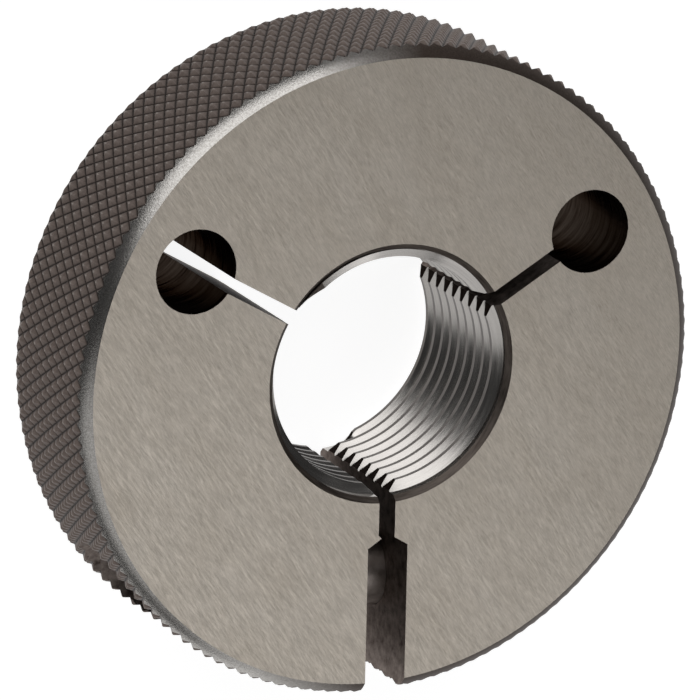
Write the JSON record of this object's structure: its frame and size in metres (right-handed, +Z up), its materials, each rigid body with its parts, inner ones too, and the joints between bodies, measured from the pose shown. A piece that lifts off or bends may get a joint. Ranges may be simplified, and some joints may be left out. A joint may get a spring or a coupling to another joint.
{
  "type": "thread ring gauge",
  "caption": "Adjustable ring gauge with a threaded bore, relief slots ending in holes, a knurled rim and a locking screw and sleeve across its open slot.",
  "frame": {"origin": "where the bore's axis meets the lower face", "axes": "+Z up along the bore's axis, the open adjusting slot runs out along -Y, and the locking screw lies along X with its head towards -X"},
  "size_m": [0.0666, 0.0665, 0.0175],
  "materials": {
    "ring": "surface-ground faces, knurled rim",
    "sleeve": "turned",
    "screws": "blackened"
  },
  "bodies": {
    "root": {"ring_body": "ring", "sleeve": "sleeve", "adjusting_screw": "screws", "locking_screw": "screws"}
  },
  "joints": []
}
